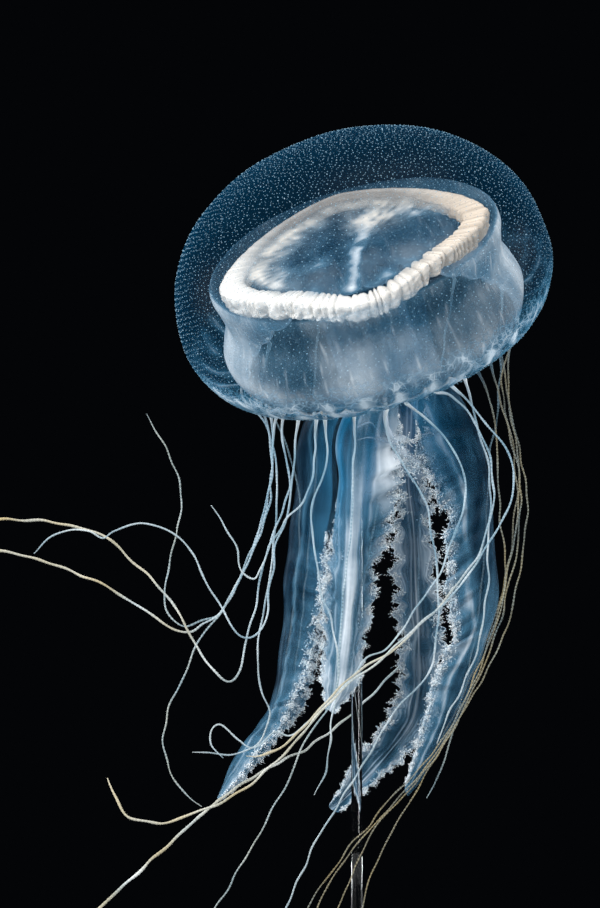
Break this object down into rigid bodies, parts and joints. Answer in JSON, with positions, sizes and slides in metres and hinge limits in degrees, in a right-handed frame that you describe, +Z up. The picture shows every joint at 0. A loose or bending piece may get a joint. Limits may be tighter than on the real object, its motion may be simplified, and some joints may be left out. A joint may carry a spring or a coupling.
{
  "type": "jellyfish",
  "caption": "Jellyfish with a clear warted bell, a cream gonad ring, frilled oral arms and long thin tentacles, held life size by a rod on a round base.",
  "frame": {"origin": "centre of the display base's underside", "axes": "+Z up, the animal's front towards -Y, the long tentacles trailing towards -X"},
  "size_m": [0.2329, 0.1567, 0.3502],
  "materials": {
    "jelly": "wet, clear, warted",
    "gonad": "satin",
    "veil": "wet, milky",
    "thread": "wet",
    "acrylic": "polished",
    "lacquer": "dark lacquer"
  },
  "bodies": {
    "root": {"bell": "jelly", "gonad_back": "gonad", "gonad_front": "gonad", "gonad_left": "gonad", "gonad_right": "gonad", "manubrium": "veil", "oral_arm_back_lower": "veil", "oral_arm_back_upper": "veil", "oral_arm_front_lower": "veil", "oral_arm_front_upper": "veil", "oral_arm_left_lower": "veil", "oral_arm_left_upper": "veil", "oral_arm_right_lower": "veil", "oral_arm_right_upper": "veil", "stand_base": "lacquer", "stand_rod": "acrylic", "tentacle_01_lower": "thread", "tentacle_01_upper": "thread", "tentacle_02_lower": "thread", "tentacle_02_upper": "thread", "tentacle_03_lower": "thread", "tentacle_03_upper": "thread", "tentacle_04_lower": "thread", "tentacle_04_upper": "thread", "tentacle_05_lower": "thread", "tentacle_05_upper": "thread", "tentacle_06": "thread", "tentacle_07_lower": "thread", "tentacle_07_upper": "thread", "tentacle_08_lower": "thread", "tentacle_08_upper": "thread", "tentacle_09_lower": "thread", "tentacle_09_upper": "thread", "tentacle_10_lower": "thread", "tentacle_10_upper": "thread", "tentacle_11_lower": "thread", "tentacle_11_upper": "thread", "tentacle_12_lower": "thread", "tentacle_12_upper": "thread", "tentacle_13": "thread", "tentacle_14_lower": "thread", "tentacle_14_upper": "thread", "tentacle_15_lower": "thread", "tentacle_15_upper": "thread", "tentacle_16_lower": "thread", "tentacle_16_upper": "thread", "tentacle_17_lower": "thread", "tentacle_17_upper": "thread", "tentacle_18": "thread", "tentacle_19": "thread", "tentacle_20_lower": "thread", "tentacle_20_upper": "thread", "tentacle_21": "thread", "tentacle_22": "thread", "tentacle_23": "thread", "tentacle_24_lower": "thread", "tentacle_24_upper": "thread"}
  },
  "joints": []
}
